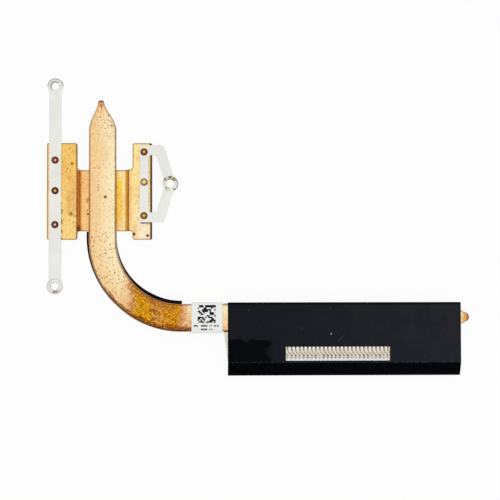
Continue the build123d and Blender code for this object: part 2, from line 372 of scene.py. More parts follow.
class Field:
    """A number or a place that varies over a surface: one output of a node."""

    def __init__(self, output):
        self.output = output
        self.tree = output.id_data

    def calc(self, operation, other=0.0):
        return Field(add_node(self.tree, "Math", {0: self, 1: other}, operation=operation).outputs[0])

    def __add__(self, other):
        return self.calc("ADD", other)

    def __sub__(self, other):
        return self.calc("SUBTRACT", other)

    def __mul__(self, other):
        return self.calc("MULTIPLY", other)

    def vector(self, operation, other=(0.0, 0.0, 0.0)):
        node = add_node(self.tree, "VectorMath", {0: self, 1: other}, operation=operation)
        return Field(node.outputs["Value" if operation == "DISTANCE" else "Vector"])

    def split(self):
        return [Field(part) for part in add_node(self.tree, "SeparateXYZ", {0: self}).outputs]

    def join(self, other):
        """A place in a plane from two numbers."""
        return Field(add_node(self.tree, "CombineXYZ", {0: self, 1: other}).outputs[0])

    def scaled(self, size, stretch):
        """A place counted in steps of the given size, longer along the axes that are stretched."""
        return self.vector("MULTIPLY", [1 / (size * factor) for factor in stretch])

    def noise(self, size, detail=3.0, stretch=EVEN):
        """Cloudy values round 0.5, with patches of about the given size."""
        inputs = {"Vector": self.scaled(size, stretch), "Scale": 1.0, "Detail": detail}
        return Field(add_node(self.tree, "TexNoise", inputs).outputs[0])

    def specks(self, size, radius, share, stretch=EVEN):
        """Scattered dots: one in each of a share of random cells."""
        inputs = {"Vector": self.scaled(size, stretch), "Scale": 1.0}
        cells = add_node(self.tree, "TexVoronoi", inputs, voronoi_dimensions="2D").outputs
        dot = Field(cells["Distance"]).rise(radius, radius / 2)
        return dot * Field(cells["Color"]).split()[0].calc("LESS_THAN", share)

    def chance(self, size):
        """A random value for each square cell."""
        cell = self.scaled(size, EVEN).vector("FLOOR")
        return Field(add_node(self.tree, "TexWhiteNoise", {"Vector": cell}).outputs["Value"])

    def rise(self, low, high, start=0.0, end=1.0):
        """The start value up to low, the end value past high and smooth between. It also runs downwards."""
        inputs = {
            "Value": self,
            "From Min": min(low, high),
            "From Max": max(low, high),
            "To Min": start if low < high else end,
            "To Max": end if low < high else start,
        }
        return Field(add_node(self.tree, "MapRange", inputs, interpolation_type="SMOOTHSTEP").outputs[0])

    def band(self, low, high, soft):
        """1 between low and high, fading to 0 outside."""
        return self.rise(low - soft, low + soft) * self.rise(high + soft, high - soft)

    def spot(self, centre, radius, soft):
        """1 near a place, fading to 0 outside the radius."""
        return self.vector("DISTANCE", centre).rise(radius + soft, radius - soft)

    def repeated(self, start, pitch):
        """Distance to the nearest of a row of places, a pitch apart."""
        return (self + (pitch / 2 - start)).calc("FLOORED_MODULO", pitch) - pitch / 2


class Surface:
    """A material in the making: one shader and the colour laid on so far."""

    def __init__(self, name, metallic, specular=0.5):
        self.material = bpy.data.materials.new(name)
        self.material.use_nodes = True
        self.tree = self.material.node_tree
        self.shader = self.tree.nodes["Principled BSDF"]
        self.shader.inputs["Metallic"].default_value = metallic
        self.shader.inputs["Specular IOR Level"].default_value = specular
        self.shade = None

    def place(self):
        """Where a point lies in the part, in millimetres."""
        metres = Field(add_node(self.tree, "TexCoord", {}).outputs["Object"])
        return metres.vector("MULTIPLY", (1 / MM, 1 / MM, 1 / MM))

    def flow(self):
        """What the piece keeps for each point, such as its place on a strip or its distance to an edge."""
        return Field(add_node(self.tree, "Attribute", {}, attribute_name="flow").outputs["Vector"])

    def base(self, mask, first, second):
        """Start with two colours, the second one where the mask is 1."""
        self.shade = tone(first)
        self.lay(mask, 1.0, second)

    def lay(self, mask, share, colour):
        """Lay a colour over the others where the mask is 1, at the given share."""
        inputs = {0: mask * share, 6: self.shade, 7: tone(colour)}
        self.shade = Field(add_node(self.tree, "Mix", inputs, data_type="RGBA").outputs[2])

    def flecks(self, place, size, radius, share, where, colour, stretch=EVEN):
        """Scattered dark dots, each in a soft golden stain, where the mask is 1."""
        stain = place.specks(size, STAIN_SPREAD * radius, share, stretch)
        self.lay(stain * where, SPECK_STAIN_SHARE, STAIN_COLOUR)
        self.lay(place.specks(size, radius, share, stretch) * where, SPECK_SHARE, colour)

    def blot(self, place, centre, radius, colour):
        """One dark spot in a soft golden stain."""
        self.lay(place.spot(centre, STAIN_SPREAD * radius, radius), BLOT_STAIN_SHARE, STAIN_COLOUR)
        self.lay(place.spot(centre, radius, BLOT_EDGE), BLOT_SHARE, colour)

    def roughness(self, value, low, high):
        """Roughness that follows a mask between two levels."""
        node = add_node(self.tree, "MapRange", {"Value": value, "To Min": low, "To Max": high})
        self.tree.links.new(node.outputs[0], self.shader.inputs["Roughness"])

    def bump(self, height, depth):
        """Fine relief, with its depth in millimetres."""
        node = add_node(self.tree, "Bump", {"Distance": depth * MM, "Height": height})
        self.tree.links.new(node.outputs["Normal"], self.shader.inputs["Normal"])

    def done(self):
        """The finished material."""
        self.tree.links.new(self.shade.output, self.shader.inputs["Base Color"])
        return self.material


def pipe_material():
    """Drawn copper: peach and speckled on the hot leg, baked gold and brown round the bend."""
    surface = Surface("pipe_copper", metallic=1.0)
    flow = surface.flow()
    along, across, flatness = flow.split()
    plan_x = surface.place().split()[0]
    clouds = flow.noise(5.0, stretch=(2.0, 1.0, 1.0))
    grain = flow.noise(0.5, stretch=(2.0, 1.0, 1.0))
    sparkle = flow.noise(0.5)
    mottle = flow.noise(1.3, detail=5.0)
    drift = flow.noise(4.0, detail=2.0)
    unrest = (mottle - 0.5) * 0.5 + (drift - 0.5)

    def ragged(value, reach):
        """A coordinate whose limits wander."""
        return value + unrest * reach

    # Paler towards the inside of the bend, the right of the hot leg: painted light, as if lit from that side
    surface.base(across.rise(-4.0, 4.0), (246, 206, 150), (254, 238, 196))
    surface.lay(clouds.rise(0.45, 0.7), 0.5, (244, 206, 148))
    surface.lay(grain.rise(0.5, 0.68), 0.45, (222, 166, 100))
    surface.lay(grain.rise(0.42, 0.32), 0.3, (255, 240, 206))

    # The baked part of the bend: a peach fringe, brown grain and two gold patches
    baked = ragged(plan_x, 5.0)
    dark = sparkle.rise(0.5, 0.62)
    bright = sparkle.rise(0.45, 0.34)
    tarnish = baked.band(8.2, 24.4, 1.2)
    between = baked.band(15.2, 18.6, 1.0)
    gold = baked.band(9.6, 15.2, 1.3)
    amber = baked.band(18.6, 23.0, 1.1)
    patches = gold + amber + between
    seam = baked.band(15.0, 16.2, 0.5) * mottle.rise(0.4, 0.52)
    border = baked.band(8.4, 9.6, 0.6) * sparkle.rise(0.46, 0.58)
    surface.lay(baked.band(6.2, 25.0, 1.6), 0.5, (232, 168, 100))
    surface.lay(tarnish, 0.5, (222, 152, 84))
    surface.lay(tarnish * mottle.rise(0.42, 0.62), 0.45, (188, 112, 58))
    surface.lay(tarnish * dark, 0.6, (160, 86, 40))
    surface.lay(between, 0.75, (200, 132, 50))
    surface.lay(gold, 0.97, (220, 158, 2))
    surface.lay(amber, 0.95, (214, 142, 6))
    surface.lay(patches * mottle.rise(0.5, 0.64), 0.5, (170, 94, 18))
    surface.lay(patches * dark, 0.8, (140, 74, 10))
    surface.lay(patches * bright, 0.75, (255, 210, 64))
    surface.lay(between * mottle.rise(0.44, 0.34), 0.45, (240, 182, 104))
    surface.lay(seam, 0.7, (120, 60, 20))
    surface.lay(border, 0.6, (142, 76, 30))

    # The edges of the bend: brown grain inside, blotches past the patches and a brown edge outside
    inner = ragged(across, 2.0).rise(1.6, 3.0) * along.band(60.5, 78.0, 2.0)
    surface.lay(inner, 0.5, (204, 132, 60))
    surface.lay(inner * sparkle.rise(0.44, 0.56), 0.7, (146, 76, 26))
    blotches = baked.rise(23.0, 24.2) * along.rise(84.0, 82.0)
    lower = blotches * across.rise(0.5, -2.4)
    surface.lay(lower * mottle.rise(0.42, 0.55), 0.75, (168, 92, 56))
    surface.lay(blotches * dark, 0.5, (190, 118, 62))
    widening = along.rise(54.0, 76.0) * -0.75
    outer = (ragged(across, 2.5) + widening).rise(-2.75, -3.65) * along.band(56.0, 90.0, 4.0)
    surface.lay(outer, 0.85, (150, 82, 28))
    surface.lay(outer * sparkle.rise(0.46, 0.58), 0.75, (88, 42, 12))
    surface.lay(outer * bright, 0.6, (230, 146, 60))

    # The sealed tips: orange where the tube was swaged, dark at the very end and in the crease
    crease = along.band(1.8, 4.0, 0.3) * across.band(-0.4, -0.25, 0.12)
    surface.lay(along.rise(6.0, 1.5), 0.6, (240, 184, 116))
    surface.lay(flow.spot((1.5, -0.4, TOP_FACE), 0.55, 0.45), 0.85, (190, 104, 34))
    surface.lay(crease, 0.85, (150, 90, 34))
    surface.lay(along.rise(0.9, 0.6), 0.9, (104, 76, 48))
    surface.lay(along.rise(pipe_length - 2.4, pipe_length - 1.3), 0.8, (220, 154, 66))
    surface.lay(along.rise(pipe_length - 1.1, pipe_length - 0.4), 0.85, (138, 84, 44))

    # Brown painted shade on the rounded sides, darkest on the outside of the bend; dark specks, a scratch and
    # the larger spots
    side = flatness.calc("ABSOLUTE").rise(0.88, 0.6)
    outside = across.rise(-1.0, -2.0) * along.band(50.0, 84.0, 6.0)
    surface.lay(side, 0.75, (162, 112, 64))
    surface.lay(side * outside, 0.8, (64, 38, 22))
    busy = flow.noise(2.2, stretch=(1.6, 1.0, 1.0)).rise(0.48, 0.58)
    streaks = mottle.rise(0.43, 0.51) * along.band(40.0, 60.0, 3.0)
    near_tip = flow.spot((9.2, 2.7, TOP_FACE), 2.4, 0.8)
    surface.flecks(flow, 0.6, 0.17, 0.4, busy, (84, 46, 2), stretch=(1.4, 1.0, 1.0))
    surface.flecks(flow, 2.2, 0.055, 0.25, 1.0, (64, 34, 2), stretch=(1.5, 1.0, 1.0))
    surface.flecks(flow, 0.6, 0.22, 0.55, streaks, (48, 28, 4), stretch=(2.2, 1.0, 1.0))
    surface.flecks(flow, 0.6, 0.22, 0.5, near_tip, (80, 46, 6))
    scratch = (along + across * -0.67).band(4.8, 5.0, 0.1) * across.band(1.4, 3.1, 0.1)
    surface.lay(scratch, 0.85, (116, 70, 30))
    spots = (
        (29.3, 0.9, 0.36), (25.7, -1.2, 0.14), (26.5, -1.2, 0.14), (27.3, -1.2, 0.14), (20.6, -2.4, 0.14),
        (20.6, -1.0, 0.14), (4.7, 1.8, 0.2), (5.3, -0.7, 0.14), (7.8, 2.8, 0.22),
    )
    for spot_along, spot_across, radius in spots:
        surface.blot(flow, (spot_along, spot_across, TOP_FACE), radius, (76, 42, 2))
    surface.roughness(grain, 0.24, 0.42)
    surface.bump(grain, 0.012)
    return surface.done()


def plate_material():
    """Stamped copper: golden wings, orange folds with painted highlights and shade, brown cut edges partly
    painted shade, painted shadows by the brackets, and a few stains.
    """
    surface = Surface("plate_copper", metallic=1.0)
    place = surface.place()
    across, along, up = place.split()
    edge = surface.flow().split()[0]
    clouds = place.noise(3.5, stretch=(1.0, 1.6, 1.0))
    grain = place.noise(0.45, detail=4.0, stretch=(1.0, 1.6, 1.0))
    pale = across.rise(8.5, 12.0) * along.rise(5.0, -8.0)
    yellow = across.band(3.9, 5.9, 0.3) * up.rise(0.3, 0.7)
    surface.base(along.rise(12.0, -10.0), (247, 202, 108), (251, 216, 136))
    surface.lay(across.rise(-8.0, -6.4), 1.0, (248, 202, 134))
    surface.lay(across.rise(3.8, 5.6), 1.0, (255, 231, 160))
    surface.lay(pale, 1.0, (255, 240, 208))
    surface.lay(across.band(7.9, 8.7, 0.5), 0.75, (248, 184, 104))
    surface.lay(yellow * along.band(-6.2, 6.6, 1.0), 0.95, (255, 212, 74))

    # Mottling and grain
    pink = across.band(-11.0, -7.6, 0.8) * along.band(-5.0, 8.0, 2.0)
    surface.lay(pink * clouds.rise(0.4, 0.6), 0.4, (226, 156, 104))
    surface.lay(clouds.rise(0.48, 0.66), 0.35, (242, 184, 104))
    surface.lay(grain.rise(0.5, 0.68), 0.5, (212, 142, 62))
    surface.lay(grain.rise(0.43, 0.32), 0.35, (255, 232, 176))

    # The folds: painted highlights where they face the light, and thin dark orange painted shade where they
    # turn away from it, broken into dots along the left fold's upper edge
    patchy_shade = place.noise(0.8, stretch=(4.0, 1.0, 4.0)).rise(0.45, 0.6)
    surface.lay(across.band(-7.5, -7.2, 0.1), 0.95, (255, 224, 160))
    surface.lay(across.band(-6.9, -6.4, 0.12), 0.7, (200, 112, 16))
    surface.lay(across.band(-7.82, -7.5, 0.06) * patchy_shade, 0.6, (150, 70, 16))
    surface.lay(across.band(6.8, 7.3, 0.12), 0.85, (255, 214, 128))
    surface.lay(across.band(7.4, 7.7, 0.1), 0.7, (255, 190, 70))
    surface.lay(across.band(7.6, 7.98, 0.08), 0.85, (196, 100, 8))

    # Cut edges, brown partly from a burr and partly painted shade, painted shadows by the brackets, and the
    # stains
    busy = clouds.rise(0.5, 0.6) * across.rise(-4.0, -6.5)
    grains = place.spot((9.4, 1.0, wing_top), 1.7, 0.6)
    strip_shadow = across.band(-12.4, -11.9, 0.15) * along.rise(0.0, -3.0)
    foot = along.band(right_low.y - 0.4, right_low.y, 0.1) * across.rise(11.2, 11.6)
    surface.lay(edge.rise(0.42, 0.18), 0.75, (150, 96, 46))
    # Painted shade: the right wing's outer edge, a burr darkened as if turned away from the light
    surface.lay(across.rise(plate_high.x - 0.8, plate_high.x - 0.5), 0.9, (70, 42, 22))
    surface.lay(place.spot((-9.4, -4.1, wing_top), 0.6, 0.5), 0.85, (146, 90, 20))
    surface.lay(place.spot((-6.9, -8.4, wing_top - 1), 1.0, 0.6), 0.7, (96, 44, 18))
    surface.lay(place.spot((-4.5, 0.2, wing_top - 2), 0.7, 0.5), 0.55, (174, 104, 56))
    surface.flecks(place, 0.7, 0.2, 0.45, busy, (100, 56, 4))
    surface.flecks(place, 2.6, 0.07, 0.3, across.rise(-3.0, -4.2), (98, 52, 4))
    surface.flecks(place, 0.6, 0.2, 0.3, grains, (140, 100, 40))
    # Painted shadow on the wing along the left strip's right side, broken up
    surface.lay(strip_shadow * patchy_shade.rise(0.2, 0.8), 0.8, (120, 76, 22))
    surface.lay(place.spot((-8.3, -4.9, wing_top), 0.35, 0.4), 0.55, (168, 100, 40))
    # Painted shadow on the wing just below the right bar's foot
    surface.lay(foot * up.rise(wing_top - 0.4, wing_top - 0.1), 0.8, (96, 62, 34))
    spots = (
        (14.55, 16.9, 0, 0.35), (9.5, -10.2, 0, 0.4), (13.6, -10.65, 0, 0.38), (-9.1, 11.0, 0, 0.28),
        (-4.5, -4.05, 2, 0.25), (5.0, -10.0, 0, 0.2),
    )
    for spot_x, spot_y, drop, radius in spots:
        surface.blot(place, (spot_x, spot_y, wing_top - drop), radius, (48, 26, 10))
    surface.roughness(grain, 0.26, 0.42)
    surface.bump(grain, 0.01)
    return surface.done()


def rivet_material():
    """Peened copper, redder on the left bracket: painted shade in the hollow ring and round the rim, and a
    painted highlight on the crown.
    """
    surface = Surface("rivet_copper", metallic=1.0)
    place = surface.place()
    radius = surface.flow().split()[0]
    clouds = place.noise(0.7)
    surface.base(clouds, (150, 82, 44), (178, 104, 52))
    # For each rivet: the head's colour, and the crown's paler colour, a painted highlight
    tones_and_highlights = (
        ((140, 70, 40), (255, 186, 146)),
        ((100, 64, 26), (236, 198, 116)),
        ((112, 58, 42), (255, 196, 172)),
        ((150, 84, 28), (255, 206, 116)),
        ((242, 200, 118), (255, 236, 184)),
        ((172, 110, 36), (255, 208, 110)),
    )
    for rivet, (ring, crown) in zip(rivets, tones_and_highlights):
        near = place.spot((*rivet, bracket_top), RIVET_RADIUS + 0.3, 0.1)
        surface.lay(near, 0.85, ring)
        surface.lay(near * radius.rise(0.44, 0.2), 0.95, crown)
    # Painted shade in the hollow ring, patchy, and darker still round the rolled rim
    surface.lay(radius.band(0.5, 0.72, 0.1) * clouds.rise(0.4, 0.55), 0.6, (92, 50, 22))
    surface.lay(radius.rise(0.76, 0.9), 0.9, (52, 34, 20))
    surface.roughness(clouds, 0.22, 0.36)
    surface.bump(place.noise(0.25), 0.01)
    return surface.done()


def bracket_material():
    """Nickel plated spring steel, pale and satin, stained round the screw holes, with painted shade on the
    head rims and hole walls.
    """
    surface = Surface("bracket_steel", metallic=1.0)
    place = surface.place()
    across, along, _ = place.split()
    plan = across.join(along)
    clouds = place.noise(6.0)
    brushed = place.noise(0.3, detail=2.0, stretch=(1.0, 12.0, 1.0))
    grain = place.noise(0.5, detail=4.0)
    surface.base(clouds.rise(0.35, 0.65), (232, 231, 226), (237, 237, 231))
    surface.lay(brushed.rise(0.5, 0.8), 0.25, (216, 215, 209))
    surface.lay(grain.rise(0.55, 0.7) * across.rise(15.0, 18.0), 0.3, (214, 212, 190))

    def ring(head, low, high):
        """A ring round a screw head."""
        return plan.vector("DISTANCE", (head.x, head.y, 0.0)).band(low, high, 0.12)

    def mark(head, x, y, radius):
        """A round stain at a place measured from a screw head."""
        return plan.spot((head.x + x, head.y + y, 0.0), radius, 0.3)

    # Upper left head: painted shade on the rim above and on the hole wall
    above = along.rise(upper_head.y - 0.3, upper_head.y + 0.3)
    diagonal = upper_head.y - upper_head.x
    turned = (along - across).rise(diagonal - 0.6, diagonal + 0.4)
    surface.lay(ring(upper_head, 2.05, 2.5) * above, 0.75, (150, 150, 144))
    surface.lay(ring(upper_head, 1.1, 1.45) * turned, 0.85, (112, 110, 96))

    # Lower left head: faint painted shade round the rim and the hole wall, and a brown spot at the bottom of
    # the hole
    surface.lay(ring(lower_head, 2.1, 2.35), 0.5, (168, 170, 162))
    surface.lay(ring(lower_head, 1.1, 1.4), 0.5, (168, 168, 154))
    surface.lay(mark(lower_head, -0.2, -1.65, 0.35), 0.9, (96, 78, 36))
    surface.lay(mark(lower_head, 0.5, -1.55, 0.4), 0.85, (134, 108, 60))
    surface.lay(mark(lower_head, 1.3, -1.4, 0.5), 0.6, (214, 176, 158))

    # Right head: olive stains round the hole and a grey crescent of painted shade on the rim outside
    beyond = across.rise(right_head.x + 0.7, right_head.x + 1.3)
    blotch = place.noise(0.7, detail=4.0).rise(0.42, 0.56)
    stained = ring(right_head, 1.3, 2.2) * along.rise(right_head.y + 0.2, right_head.y + 1.0)
    arc = ring(right_head, 1.95, 2.3) * along.rise(right_head.y + 1.0, right_head.y + 1.4)
    surface.lay(ring(right_head, 2.05, 2.5) * beyond, 0.75, (140, 140, 138))
    surface.lay(stained, 0.6, (214, 200, 150))
    surface.lay(stained * blotch, 0.8, (124, 104, 44))
    surface.lay(arc * blotch, 0.85, (58, 50, 30))
    surface.lay(mark(right_head, 1.0, 1.3, 0.35), 0.85, (116, 100, 26))
    surface.lay(mark(right_head, -1.5, 1.5, 0.25), 0.85, (66, 52, 26))
    surface.lay(mark(right_head, -1.5, -0.2, 0.6), 0.4, (222, 204, 190))
    surface.lay(mark(right_head, -0.8, -1.5, 0.7), 0.6, (210, 210, 126))
    surface.lay(mark(right_head, -1.0, -1.4, 0.6) * blotch, 0.7, (150, 146, 70))
    surface.lay(mark(right_head, 1.2, -1.6, 0.25), 0.8, (96, 92, 88))
    surface.roughness(brushed, 0.3, 0.42)
    surface.bump(brushed, 0.004)
    return surface.done()


def fin_material():
    """Rolled aluminium: cream on top, painted shade between the sheets, whiter along the front edge, and a
    painted highlight on the flanges' rounded rear ends.
    """
    surface = Surface("fin_aluminium", metallic=1.0)
    place = surface.place()
    across, along, up = place.split()
    clouds = place.noise(1.6)
    grain = place.noise(0.3, detail=4.0)
    hook_y = fin_low.y + HOOK_LENGTH
    framed = across.band(window_low.x, window_high.x, 0.1) * along.band(window_low.y, window_high.y, 0.1)
    # The sheets' faces below the tops, seen through the window, take painted shade
    below = framed * up.band(fin_high.z - 2.5, fin_high.z - 0.25, 0.15)
    window = framed * up.rise(fin_high.z - 0.4, fin_high.z - 0.1)
    dull = along.band(hook_y - 0.2, hook_y + 0.9, 0.3)
    surface.base(clouds.rise(0.35, 0.65), (218, 212, 192), (230, 225, 207))
    surface.lay(window * dull, 0.5, (206, 193, 178))
    surface.lay(window * along.rise(hook_y - 0.1, hook_y - 0.5), 1.0, (208, 206, 202))
    surface.lay(window * along.rise(hook_y - 0.8, hook_y - 1.1), 1.0, (232, 233, 230))
    # Painted highlight on the rounded rear ends of the flanges, along the window's rear edge
    surface.lay(window * along.rise(window_high.y - 0.9, window_high.y - 0.5), 0.6, (248, 247, 234))
    surface.lay(grain.rise(0.5, 0.72), 0.4, (170, 160, 138))

    # Painted shade between the sheets: wedges at the top, slanted seams, small gaps where the hooks meet and
    # a row of pores
    past = along - (hook_y + HOOK_SLANT)
    wedge = across.repeated(fin_low.x - FLANGE_GAP / 2, FIN_PITCH).calc("ABSOLUTE")
    wedge = (wedge + past * -0.16).rise(0.08, -0.04) * past.rise(0.0, 0.3)
    leaning = across + past * (HOOK_SHIFT / HOOK_SLANT)
    leaning = leaning.repeated(fin_low.x, FIN_PITCH).calc("ABSOLUTE")
    seams = leaning.rise(0.2, 0.06) * past.band(-HOOK_SLANT, 0.0, 0.1)
    seam_place = across.repeated(fin_low.x + HOOK_SHIFT, FIN_PITCH).join(along)
    varied = window * place.noise(1.4, stretch=(1.0, 30.0, 30.0)).rise(0.35, 0.55)
    gaps = seam_place.spot((0.0, hook_y, 0.0), 0.26, 0.1)
    pores = seam_place.spot((0.0, hook_y - 0.6, 0.0), 0.22, 0.1)
    surface.lay(below, 0.92, (58, 52, 38))
    surface.lay(window * wedge, 0.75, (74, 66, 44))
    surface.lay(window * seams, 0.7, (116, 98, 80))
    surface.lay(gaps * varied, 0.95, (46, 34, 26))
    surface.lay(pores * varied.rise(0.3, 0.9), 0.9, (70, 62, 54))
    surface.roughness(grain, 0.28, 0.44)
    return surface.done()


def film_material():
    """Satin black polyester film, greyer towards the right, with dark smears, dust and a scratch, and painted
    shade that makes the drooping flap and the left edge nearly black.
    """
    surface = Surface("black_film", metallic=0.0, specular=0.015)
    place = surface.place()
    across, along, _ = place.split()
    plan = across.join(along)
    clouds = place.noise(4.0, detail=4.0)
    grain = place.noise(0.6, detail=4.0)
    smear = (along + clouds * 5.0).rise(-39.0, -39.8) * across.rise(52.0, 49.5)
    surface.base(across.rise(film_low.x, film_high.x), (26, 28, 33), (39, 40, 45))
    surface.lay(clouds.rise(0.4, 0.65), 0.35, (24, 25, 36))
    surface.lay(grain.rise(0.5, 0.75), 0.35, (40, 42, 46))
    surface.lay(smear, 0.9, (4, 5, 9))
    surface.lay(plan.spot((51.2, -45.4, 0.0), 2.0, 0.6), 0.6, (28, 29, 33))
    # Painted shade: the drooping flap, turned away from the light, and the left edge beside the pipe, nearly
    # black
    surface.lay(along.rise(fold_y + 0.5, fold_y - 0.2), 0.97, (2, 3, 6))
    surface.lay(across.rise(film_low.x + 0.4, film_low.x + 0.15), 0.9, (4, 4, 6))
    surface.lay(along.rise(film_high.y - 0.9, film_high.y - 0.5), 0.8, (8, 8, 12))

    # Dust along the fold and elsewhere, a faint pale line along the fold, and a fine scratch
    dust = place.specks(0.5, 0.3, 0.5, stretch=(1.3, 1.0, 1.0))
    near_fold = along.band(fold_y - 0.2, fold_y + 0.5, 0.2) * clouds.rise(0.42, 0.56)
    surface.lay(dust * near_fold, 0.5, (88, 91, 100))
    surface.lay(along.band(fold_y + 0.05, fold_y + 0.2, 0.1), 0.2, (70, 73, 82))
    surface.lay(place.specks(4.0, 0.03, 0.15), 0.2, (110, 112, 118))
    crumbs = ((68.5, -40.2, 0.8), (59.7, -38.5, 0.06), (68.2, -32.5, 0.06), (44.0, -33.1, 0.1))
    for spot_x, spot_y, share in crumbs:
        surface.lay(plan.spot((spot_x, spot_y, 0.0), 0.2, 0.1), share, (190, 190, 186))
    scratch = (along + across * -0.85).band(-102.3, -102.15, 0.08) * across.band(70.6, 72.5, 0.2)
    surface.lay(scratch, 0.5, (110, 110, 112))
    surface.roughness(clouds, 0.34, 0.5)
    surface.bump(grain, 0.004)
    return surface.done()


def tape_material():
    """Matt black adhesive tape."""
    surface = Surface("black_tape", metallic=0.0, specular=0.05)
    weave = surface.place().noise(0.3)
    surface.base(weave, (8, 8, 10), (22, 22, 24))
    surface.roughness(weave, 0.5, 0.65)
    surface.bump(weave, 0.01)
    return surface.done()


def label_material():
    """White coated paper with a block of random cells and two rows of random dashes."""
    surface = Surface("label_paper", metallic=0.0, specular=0.15)
    flow = surface.flow()
    along, across, _ = flow.split()
    fibres = flow.noise(0.4)
    block = along.band(1.85, 7.25, 0.02) * across.band(3.0, 8.4, 0.02)
    cells = flow.chance(0.45).calc("LESS_THAN", 0.5)
    upper_row = across.band(1.95, 2.45, 0.08) * along.band(0.7, 8.1, 0.02)
    lower_row = across.band(0.9, 1.4, 0.08) * along.band(1.9, 6.8, 0.02)
    dashes = along.join(0.0).chance(0.28).calc("LESS_THAN", 0.6)
    surface.base(fibres, (244, 246, 244), (252, 253, 251))
    surface.lay(block * cells, 1.0, (8, 8, 11))
    surface.lay((upper_row + lower_row) * dashes, 0.9, (22, 23, 28))
    surface.roughness(fibres, 0.5, 0.6)
    surface.bump(fibres, 0.006)
    return surface.done()


# Pieces


def pipe_frame(distance):
    """Centre of the pipe at a distance from its hot end, and the direction to the inside of its bend."""
    if distance < hot_leg:
        return Vector((0, pipe_high.y - distance, hot_mid_z)), Vector((1, 0, 0))
    turn = min((distance - hot_leg) / BEND_RADIUS, math.pi / 2)
    past = max(distance - hot_leg - bend_length, 0.0)
    lift = ease((math.degrees(turn) - RISE_START_ANGLE) / (90 - RISE_START_ANGLE))
    centre = Vector((
        BEND_RADIUS * (1 - math.cos(turn)) + past,
        bend_start_y - BEND_RADIUS * math.sin(turn),
        blend(hot_mid_z, cold_mid_z, lift),
    ))
    return centre, Vector((math.cos(turn), math.sin(turn), 0))


def slot_ring(half_width, half_height):
    """Section of the pressed tube: flats above and below, joined by half circles."""
    flat = half_width - half_height
    ring = []
    for side in (1, -1):
        for step in range(PIPE_ARC_STEPS + 1):
            angle = math.pi * (step / PIPE_ARC_STEPS - 0.5)
            ring.append((side * (flat + half_height * math.cos(angle)), side * half_height * math.sin(angle)))
        for step in range(1, PIPE_FLAT_STEPS):
            ring.append((side * flat * (1 - 2 * step / PIPE_FLAT_STEPS), side * half_height))
    return ring


def pipe_stations():
    """Distances from the hot end where the pipe has a ring, closer together at the two tips."""
    hot = spread(0, HOT_TIP_LENGTH, PIPE_TIP_STEP)
    middle = spread(HOT_TIP_LENGTH, pipe_length - COLD_TIP_LENGTH, PIPE_STEP)
    cold = spread(pipe_length - COLD_TIP_LENGTH, pipe_length, PIPE_TIP_STEP)
    return hot + middle[1:] + cold[1:]


def pipe_ring(distance):
    """Section at a distance from the hot end: points across and up, and how flat the pipe is there."""
    end = min(distance, pipe_length - distance)
    if distance < pipe_length / 2:
        length, nub_width, nub_shift = HOT_TIP_LENGTH, HOT_NUB_WIDTH, HOT_NUB_SHIFT
    else:
        length, nub_width, nub_shift = COLD_TIP_LENGTH, COLD_NUB_WIDTH, COLD_NUB_SHIFT
    share = min(max((length - end) / (length - NUB_ROUNDING), 0.0), 1.0)
    swell = (1 - share ** 2) ** 2
    rounding = max(NUB_ROUNDING - end, 0.0)
    inset = NUB_ROUNDING - math.sqrt(NUB_ROUNDING ** 2 - rounding ** 2)
    corner = NUB_CORNER * nub_width
    corner_inset = corner - math.sqrt(corner ** 2 - max(corner - end, 0.0) ** 2)
    half_width = blend(nub_width / 2, pipe_half_width, swell) - corner_inset
    half_height = blend(NUB_THICKNESS / 2, pipe_half_height, swell) - inset
    crease_share = (end - CREASE_START) / (CREASE_END - CREASE_START)
    crease = CREASE_DEPTH * ease(CREASE_FADES[0] * crease_share) * ease(CREASE_FADES[1] * (1 - crease_share))
    ring = []
    for across, up in slot_ring(half_width, half_height):
        flatness = up / half_height
        sag = PIPE_WAVE * wave(distance / PIPE_WAVE_LENGTHS[0], across / PIPE_WAVE_LENGTHS[1], up)
        dent = crease * math.exp(-(across / CREASE_WIDTH) ** 2)
        sunk = flatness * abs(flatness) * (sag + dent)
        ring.append((across + nub_shift * (1 - swell), up - sunk, flatness))
    return ring


def make_heat_pipe(material):
    vertices = []
    flow = []
    stations = pipe_stations()
    for distance in stations:
        centre, inside = pipe_frame(distance)
        for across, up, flatness in pipe_ring(distance):
            vertices.append(centre + inside * across + Vector((0, 0, up)))
            flow.append((distance, across, flatness))
    faces = tube_faces(len(stations), len(pipe_ring(0)))
    make_piece("flat_heat_pipe", vertices, faces, material, "heat_pipe", flow)


def plate_outline():
    """Plan of the stamped sheet: two wings with an ear at each end, joined by the channel."""
    notch_left = LEFT_EAR_LIP - channel_half
    notch_right = channel_half + RIGHT_EAR_RELIEF

    def long_side(edge_y, channel_y):
        """One long side of the plan, from left to right."""
        left = [(plate_low.x, edge_y), (notch_left, edge_y), (notch_left, channel_y)]
        right = [(notch_right, channel_y), (notch_right, edge_y), (plate_high.x, edge_y)]
        return left + right

    lower = long_side(plate_low.y, -CHANNEL_HALF_LENGTH)
    upper = long_side(plate_high.y, CHANNEL_HALF_LENGTH)[::-1]
    corner, notch = WING_CORNER_RADIUS, NOTCH_RADIUS
    return rounded_line(lower + upper, [corner, corner, notch, notch, corner, corner] * 2, closed=True)


def plate_profile():
    """Cross line of the plate's upper face: wing, channel, wing, with rounded folds."""
    floor_z = plate_low.z + PLATE_THICKNESS
    points = [
        (plate_low.x, wing_top),
        (-channel_half, wing_top),
        (-floor_half, floor_z),
        (floor_half, floor_z),
        (channel_half, wing_top),
        (plate_high.x, wing_top),
    ]
    upper, lower = UPPER_FOLD_RADIUS, LOWER_FOLD_RADIUS
    return rounded_line(points, [0, upper, lower, lower, upper, 0])


